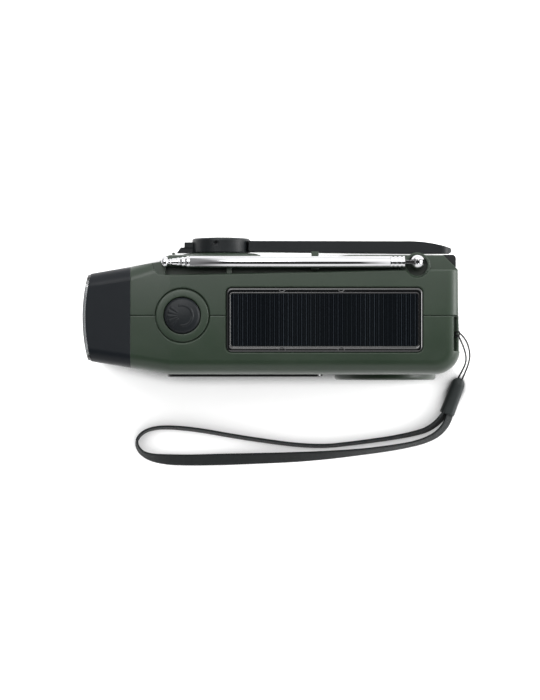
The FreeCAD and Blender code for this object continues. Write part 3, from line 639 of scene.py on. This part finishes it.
def ribbon_ring(i, s, p, tangent):
    """Flat webbing with thick woven edges, leaning on the ground."""
    at = i / (len(web_path) - 1) * (len(WEB) - 1)
    k = min(int(at), len(WEB) - 2)
    ease = at - k
    lean = math.radians(WEB[k][2] * (1 - ease) + WEB[k + 1][2] * ease)
    flat = Vector((tangent.y, -tangent.x, 0)).normalized()
    if at > TURN_OVER:
        flat = -flat
    wide = flat * math.cos(lean) + Vector((0, 0, math.sin(lean)))
    thick = tangent.cross(wide).normalized()
    ring, marks = [], []
    sides = 44
    for j in range(sides):
        a = 2 * math.pi * (j + 0.5) / sides
        c, q = math.cos(a), math.sin(a)
        w = HALF_W * math.copysign(abs(c) ** 0.42, c)
        h = HALF_T * math.copysign(abs(q) ** 0.55, q)
        beat = math.sin(2 * math.pi * s * 1000 / RIB)
        rib = 0.075 * beat * min(1.0, abs(q) * 2)
        w += math.copysign(0.09 * beat * smooth(0.7, 0.95, abs(c)), c)
        h = h * 0.9 + math.copysign(rib, q) if abs(q) > 0.05 else h
        ring.append(p + wide * (w * MM) + thick * (h * MM))
        marks.append((s, w * MM, h * MM))
    return ring, marks


verts, faces, run = sweep(web_path, ribbon_ring)
webbing = piece("strap_ribbon", verts, faces, web_look, "case", "strap_nylon", ["strap_webbing"])
add_run(webbing, run)

# clasp: tapered soft sleeve, domed where the thin cord goes in, cut square at the webbing
clasp_low, clasp_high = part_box("strap_clasp")
turn = math.radians(-110.6)
run_dir = Vector((math.cos(turn), math.sin(turn), 0))
side_dir = Vector((-run_dir.y, run_dir.x, 0))
clasp_start = Vector((84.3, -30.1, 0)) * MM


def clasp_mesh():
    verts, faces, rings = [], [], []
    sides = 56
    rows = [(0.05, 0.03)]
    for q in range(1, 13):
        a = math.pi / 2 * q / 12
        rows.append((3.2 * (1 - math.cos(a)), math.sin(a)))
    rows += [(3.2 + 13.5 * q / 20, 1.0) for q in range(1, 20)]
    rows += [(16.75, 1.0), (17.0, 0.985), (17.1, 0.95), (17.1, 0.86), (16.9, 0.82), (15.5, 0.80)]
    for x, k in rows:
        grow = 2.95 + 0.35 * min(1.0, x / 16.0)
        tall = 2.55
        ring = []
        for j in range(sides):
            a = 2 * math.pi * j / sides
            c, q = math.cos(a), math.sin(a)
            w = grow * k * math.copysign(abs(c) ** 0.78, c)
            h = tall * (k ** 0.8) * math.copysign(abs(q) ** 0.72, q)
            ring.append(len(verts))
            at = clasp_start + run_dir * (x * MM) + side_dir * (w * MM)
            verts.append(at + Vector((0, 0, (2.6 + h) * MM)))
        rings.append(ring)
    for low_ring, high_ring in zip(rings, rings[1:]):
        for j in range(sides):
            n = (j + 1) % sides
            faces.append((low_ring[j], low_ring[n], high_ring[n], high_ring[j]))
    faces.append(tuple(reversed(rings[0])))
    faces.append(tuple(rings[-1]))
    return verts, faces


clasp = piece("strap_sleeve", *clasp_mesh(), clasp_rubber, "case", "black_plastic", ["strap_clasp"])

# the thin cord's loop round the bridge of the lug
hitch_shapes = []
hitch_low, hitch_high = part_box("strap_hitch")
hitch_x = (hitch_low.x + hitch_high.x) / 2
hitch_z = (hitch_low.z + hitch_high.z) / 2
for y, tilt in ((-10.4, 0.35), (-11.35, -0.1), (-12.3, 0.2)):
    loop = []
    turns = 72
    for k in range(turns + 1):
        a = 2 * math.pi * k / turns
        cx = 0.78 * math.copysign(abs(math.cos(a)) ** 0.7, math.cos(a))
        cz = 4.2 * math.copysign(abs(math.sin(a)) ** 0.35, math.sin(a))
        cy = y + tilt * math.sin(a)
        loop.append(Vector((hitch_x + cx * MM, cy * MM, hitch_z + cz * MM)))
    v, f, r = sweep(loop, round_ring(0.00038, 14, 0.0026, 0.00003))
    hitch_shapes.append((v, f, r))
verts, faces = joined(*[(v, f) for v, f, r in hitch_shapes])
hitch = piece("strap_loop", verts, faces, cord_look, "case", "cord_nylon", ["strap_hitch"])
add_run(hitch, [m for v, f, r in hitch_shapes for m in r])

# ---------------------------------------------------------------- floor and light
floor_mesh = bpy.data.meshes.new("floor")
floor_mesh.from_pydata([(-4, -4, 0), (4, -4, 0), (4, 4, 0), (-4, 4, 0)], [], [(0, 1, 2, 3)])
floor = bpy.data.objects.new("floor", floor_mesh)
bpy.context.collection.objects.link(floor)
# how far from the object the painted contact shadow on the floor reaches, in metres
PAINTED_SHADOW_REACH = 0.010
floor_look = Look("floor_paper", Roughness=0.9)
floor_look.shader.inputs["Specular IOR Level"].default_value = 0.1
floor_look.shader.inputs["Emission Color"].default_value = (1, 1, 1, 1)
mottle = floor_look.span(floor_look.noise(14, 3.0), 0.3, 0.7)
paper_tone = floor_look.blend(mottle, (0.93, 0.93, 0.93), (0.95, 0.95, 0.95))
# the floor's colour and glow are darkened near the object by an occlusion mask: a painted contact
# shadow
contact = floor_look.node("ShaderNodeAmbientOcclusion", samples=16)
contact.inputs["Distance"].default_value = PAINTED_SHADOW_REACH
beside = floor_look.span(contact.outputs["AO"], 0.50, 0.87)
# further forward, where only the low strap lies, the painted contact shadow is weaker
lift = floor_look.span(floor_look.axis("Y"), -0.036, -0.043, 0.0, 0.6)
shaded = floor_look.math("SUBTRACT", 1.0, beside)
near = floor_look.math("ADD", beside, floor_look.math("MULTIPLY", shaded, lift))
floor_look.set("Base Color", floor_look.blend(near, (0.10, 0.10, 0.105), paper_tone))
floor_look.set("Emission Strength", floor_look.math("MULTIPLY", near, 0.45))
floor_mesh.materials.append(floor_look.mat)

TENT = 2.0
TENT_TILT = 0.3
GAP_FRONT = -0.95
GAP_BACK = 0.05
world = bpy.data.worlds.new("tent")
bpy.context.scene.world = world
world.use_nodes = True
wt = world.node_tree
wt.nodes.clear()
w_out = wt.nodes.new("ShaderNodeOutputWorld")
w_bg = wt.nodes.new("ShaderNodeBackground")
w_at = wt.nodes.new("ShaderNodeTexCoord")
w_xyz = wt.nodes.new("ShaderNodeSeparateXYZ")
wt.links.new(w_at.outputs["Generated"], w_xyz.inputs[0])


def sky(operation, a, b=0.0):
    n = wt.nodes.new("ShaderNodeMath")
    n.operation = operation
    for socket, value in zip(n.inputs, (a, b)):
        if isinstance(value, bpy.types.NodeSocket):
            wt.links.new(value, socket)
        else:
            socket.default_value = value
    return n.outputs[0]


def sky_step(value, a, b):
    n = wt.nodes.new("ShaderNodeMapRange")
    wt.links.new(value, n.inputs["Value"])
    n.inputs["From Min"].default_value = a
    n.inputs["From Max"].default_value = b
    return n.outputs[0]


# white tent with a dark slot overhead where the camera looks through; the back is the brighter side
slope = sky("DIVIDE", w_xyz.outputs["Y"], sky("MAXIMUM", w_xyz.outputs["Z"], 0.05))
to_front = sky_step(slope, GAP_FRONT, GAP_FRONT - 0.04)
to_back = sky_step(slope, GAP_BACK, GAP_BACK + 0.04)
to_ends = sky_step(sky("ABSOLUTE", w_xyz.outputs["X"]), 0.55, 0.75)
tent = sky("MAXIMUM", sky("MAXIMUM", to_front, to_back), to_ends)
left_dark = sky_step(sky("MULTIPLY", w_xyz.outputs["X"], -1.0), 0.45, 0.62)
tent = sky("MULTIPLY", tent, sky("SUBTRACT", 1.0, sky("MULTIPLY", left_dark, 0.8)))
side = sky("ADD", 0.82, sky("MULTIPLY", sky_step(w_xyz.outputs["Y"], -0.6, 0.6), TENT_TILT))
above = sky_step(sky("ABSOLUTE", w_xyz.outputs["Z"]), 0.02, 0.16)
skirt = sky("ADD", 0.35, sky("MULTIPLY", above, 0.65))
light = sky("ADD", sky("MULTIPLY", sky("MULTIPLY", tent, side), skirt), 0.03)
wt.links.new(sky("MULTIPLY", light, TENT), w_bg.inputs["Strength"])
w_bg.inputs["Color"].default_value = (1.0, 1.0, 1.0, 1)
wt.links.new(w_bg.outputs[0], w_out.inputs[0])


def softbox(name, at, aim, size, power):
    data = bpy.data.lights.new(name, "AREA")
    data.shape = "RECTANGLE"
    data.size, data.size_y = size
    data.energy = power
    lamp = bpy.data.objects.new(name, data)
    lamp.location = at
    lamp.rotation_euler = (Vector(aim) - Vector(at)).to_track_quat("-Z", "Y").to_euler()
    bpy.context.collection.objects.link(lamp)
    return lamp


softbox("key_back", (-0.35, 0.55, 1.25), (0, 0, 0.05), (0.9, 0.5), 7)
softbox("rim_right", (0.95, 0.1, 0.30), (0.06, 0, 0.05), (0.8, 0.4), 9)

bpy.context.scene.view_settings.view_transform = "Standard"
bpy.context.scene.view_settings.look = "None"
bpy.context.scene.view_settings.exposure = 0.0

# ---------------------------------------------------------------- lamp switch


def middle(node):
    low_corner, high_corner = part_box(node)
    return (low_corner + high_corner) / 2, low_corner, high_corner


def mm_profile(rows):
    return [(r * MM, h * MM) for r, h in rows]


ring_mid, _, _ = middle("switch_ring")
ring_profile = [
    (7.8, 70.0),
    (7.8, 73.1),
    (7.84, 73.2),
    (7.92, 73.25),
    (8.2, 73.27),
    (9.6, 73.23),
    (10.4, 73.18),
    (10.75, 73.14),
    (10.92, 73.05),
    (11.0, 72.9),
    (11.0, 71.75),
    (9.2, 71.7),
    (9.2, 70.0),
    (7.8, 70.0),
]
ring_shape = lathe(mm_profile(ring_profile), (ring_mid.x, ring_mid.y, 0), (0, 0, 1), 160)
piece("switch_surround", *ring_shape, green, "case", "green_plastic", ["switch_ring"])

cap_mid, _, _ = middle("lamp_button")
CAP_R = 7.45


def cap_height(x, y):
    """Dome with a raised half ring and five tapering rays."""
    r = math.hypot(x, y)
    h = 75.12 - 0.0192 * r * r
    h -= 0.55 * smooth(6.5, 7.45, r) ** 2
    a = math.degrees(math.atan2(y, x + 0.2))
    band = smooth(4.9, 4.65, r) * smooth(3.85, 4.1, r) * smooth(-100, -88, a) * smooth(112, 100, a)
    fan = 0.0
    for beam in (142, 163, 184, 205, 226):
        off = abs((a - beam + 180) % 360 - 180)
        fan = max(fan, smooth(7.0, 4.0, off) * smooth(1.9, 2.3, r) * smooth(6.2, 5.8, r))
    return h + 0.2 * max(band, fan)


verts, faces = [Vector((cap_mid.x, cap_mid.y, cap_height(0, 0) * MM))], []
RINGS, SECTORS = 74, 240
for i in range(1, RINGS + 1):
    r = CAP_R * i / RINGS
    for k in range(SECTORS):
        a = 2 * math.pi * k / SECTORS
        x, y = r * math.cos(a), r * math.sin(a)
        verts.append(Vector((cap_mid.x + x * MM, cap_mid.y + y * MM, cap_height(x, y) * MM)))
STEM = (
    (7.45, 73.2),
    (7.45, 71.0),
    (5.2, 70.8),
    (5.0, 69.0),
    (8.5, 68.9),
    (8.5, 67.9),
    (2.0, 67.8),
    (2.0, 66.3),
)
for r, z in STEM:
    for k in range(SECTORS):
        a = 2 * math.pi * k / SECTORS
        x, y = r * math.cos(a) * MM, r * math.sin(a) * MM
        verts.append(Vector((cap_mid.x + x, cap_mid.y + y, z * MM)))
for k in range(SECTORS):
    faces.append((0, 1 + k, 1 + (k + 1) % SECTORS))
for i in range(RINGS + len(STEM) - 1):
    a, b = 1 + i * SECTORS, 1 + (i + 1) * SECTORS
    for k in range(SECTORS):
        n = (k + 1) % SECTORS
        faces.append((a + k, b + k, b + n, a + n))
last = 1 + (RINGS + len(STEM) - 1) * SECTORS
faces.append(tuple(range(last, last + SECTORS)))
piece("push_cap", verts, faces, button_rubber, "lamp_button", "button_rubber", ["lamp_button"])

# ---------------------------------------------------------------- solar panel


def rounded(x0, x1, y0, y1, r, z, corner=10):
    """Outline of a rounded rectangle, level at z."""
    pts = []
    corners = (
        (x1 - r, y1 - r, 0),
        (x0 + r, y1 - r, 90),
        (x0 + r, y0 + r, 180),
        (x1 - r, y0 + r, 270),
    )
    for cx, cy, a0 in corners:
        for k in range(corner + 1):
            a = math.radians(a0 + 90 * k / corner)
            pts.append(Vector(((cx + r * math.cos(a)) * MM, (cy + r * math.sin(a)) * MM, z * MM)))
    return pts


def tiers(rows, closed=True):
    """Loft through outlines with the same number of points."""
    verts, faces = [], []
    n = len(rows[0])
    for row in rows:
        verts += row
    count = len(rows)
    for i in range(count if closed else count - 1):
        a, b = i * n, (i + 1) % count * n
        for k in range(n):
            m = (k + 1) % n
            faces.append((a + k, a + m, b + m, b + k))
    if not closed:
        faces.append(tuple(reversed(range(n))))
        faces.append(tuple(range((count - 1) * n, count * n)))
    return verts, faces


_, sf_low, sf_high = middle("solar_frame")
fx0, fx1, fy0, fy1 = sf_low.x / MM, sf_high.x / MM, sf_low.y / MM, sf_high.y / MM
rows = []
for t, z, r in (
    (0.0, 71.65, 2.0),
    (0.0, 73.18, 2.0),
    (0.015, 73.21, 2.0),
    (0.22, 73.40, 1.84),
    (0.245, 73.42, 1.82),
    (0.27, 73.425, 1.8),
    (0.66, 73.425, 1.42),
    (0.69, 73.41, 1.4),
    (0.78, 73.31, 1.3),
    (0.80, 73.30, 1.28),
    (0.83, 73.34, 1.25),
    (0.85, 73.36, 1.23),
    (0.88, 73.365, 1.2),
    (0.90, 73.355, 1.18),
    (0.98, 73.26, 1.1),
    (1.0, 73.2, 1.06),
    (1.0, 71.65, 1.05),
):
    rows.append(rounded(fx0 + 1.6 * t, fx1 - 1.6 * t, fy0 + 2.2 * t, fy1 - 2.2 * t, r, z))
frame_shapes = [tiers(rows)]
for lx in (5.0, 29.8):
    for edge_y, way in ((fy0 + 0.5, 1), (fy1 - 0.5, -1)):
        tab = [(1.5, 73.42), (1.42, 73.52), (1.3, 73.54), (1.18, 73.52), (1.1, 73.42)]
        half_rows = []
        for r, z in tab:
            arc = []
            for k in range(17):
                a = math.pi * k / 16
                x = lx + r * math.cos(a)
                y = edge_y + way * r * 0.85 * math.sin(a)
                arc.append(Vector((x * MM, y * MM, z * MM)))
            half_rows.append(arc)
        n = 17
        v = [p for row in half_rows for p in row]
        f = []
        for i in range(len(half_rows) - 1):
            for k in range(n - 1):
                f.append((i * n + k, i * n + k + 1, (i + 1) * n + k + 1, (i + 1) * n + k))
        frame_shapes.append((v, f))
frame_mesh = joined(*frame_shapes)
piece("solar_surround", *frame_mesh, gloss, "case", "gloss_black", ["solar_frame"])
face_rows = [
    rounded(-16.4, 62.1, -16.1, 5.9, 0.8, 72.0),
    rounded(-16.4, 62.1, -16.1, 5.9, 0.8, 73.05),
    rounded(-16.3, 62.0, -16.0, 5.8, 0.75, 73.1),
]
piece(
    "solar_face",
    *tiers(face_rows, closed=False),
    cell,
    "case",
    "cell_blue",
    ["solar_cover", "solar_cell"],
    smooth=False,
)

# ---------------------------------------------------------------- antenna
_, tube_low, tube_high = middle("antenna_tube")
ant_y = (tube_low.y + tube_high.y) / 2 / MM
ant_z = (tube_low.z + tube_high.z) / 2 / MM
AXIS_X = (0, ant_y * MM, ant_z * MM)


def tube(name, outer, bore, x0, x1, body, node):
    """Drawn tube with a rolled mouth and a crimped groove behind it."""
    groove = outer - 0.16
    rows = [
        (bore, x0 + 0.3),
        (bore + 0.04, x0 + 0.06),
        ((outer + bore) / 2, x0),
        (outer - 0.03, x0 + 0.08),
        (outer, x0 + 0.3),
        (outer, x0 + 0.95),
        (groove, x0 + 1.1),
        (groove, x0 + 1.4),
        (outer, x0 + 1.55),
        (outer, x1 - 0.1),
        (outer - 0.1, x1),
        (bore, x1),
        (bore, x0 + 0.3),
    ]
    shape = lathe(mm_profile(rows), AXIS_X, (1, 0, 0), 96)
    piece(name, *shape, chrome, body, "antenna_chrome", [node])


tube("mast_tube", 2.45, 2.16, -34.9, 50.4, "antenna_mast", "antenna_tube")
tube("mast_stage_1", 2.1, 1.86, -36.9, 43.0, "antenna_1", "antenna_section_1")
tube("mast_stage_2", 1.8, 1.56, -39.0, 41.0, "antenna_2", "antenna_section_2")
tip_rows = [
    (0, -45.6),
    (0.9, -45.55),
    (1.6, -45.3),
    (2.05, -44.9),
    (2.28, -44.3),
    (2.3, -43.8),
    (2.2, -43.3),
    (1.9, -42.9),
    (1.35, -42.65),
    (1.1, -42.5),
    (1.05, -42.2),
    (1.1, -42.05),
    (1.32, -41.95),
    (1.38, -41.75),
    (1.32, -41.55),
    (1.15, -41.45),
    (1.12, -41.2),
    (1.2, -41.05),
    (1.44, -40.95),
    (1.5, -40.7),
    (1.5, 39.0),
    (0, 39.0),
]
tip_shape = lathe(mm_profile(tip_rows), AXIS_X, (1, 0, 0), 96)
piece("mast_tip", *tip_shape, chrome, "antenna_3", "antenna_chrome", ["antenna_section_3"])

# ---------------------------------------------------------------- printed marks on the dial card
MARK_Y = -22.4
BOX_FACES = (
    (0, 1, 2, 3),
    (7, 6, 5, 4),
    (0, 4, 5, 1),
    (1, 5, 6, 2),
    (2, 6, 7, 3),
    (3, 7, 4, 0),
)
marks = []
for z, pitch, tall in ((54.0, 1.1, 1.5), (49.5, 2.2, 1.5), (45.0, 1.1, 1.2)):
    marks.append((-33.0, 12.0, z - 0.09, z + 0.09))
    for k in range(int(44.0 / pitch) + 1):
        x = -32.5 + k * pitch
        reach = tall * (1.5 if k % 5 == 0 else 0.8)
        marks.append((x - 0.1, x + 0.1, z, z + reach))
verts, faces = [], []
for x0, x1, z0, z1 in marks:
    at = len(verts)
    for y in (MARK_Y - 0.04, MARK_Y + 0.02):
        verts += [Vector(c) * MM for c in ((x0, y, z0), (x1, y, z0), (x1, y, z1), (x0, y, z1))]
    faces += [tuple(at + i for i in quad) for quad in BOX_FACES]
piece("dial_marks", verts, faces, black, "case", "black_plastic", smooth=False)
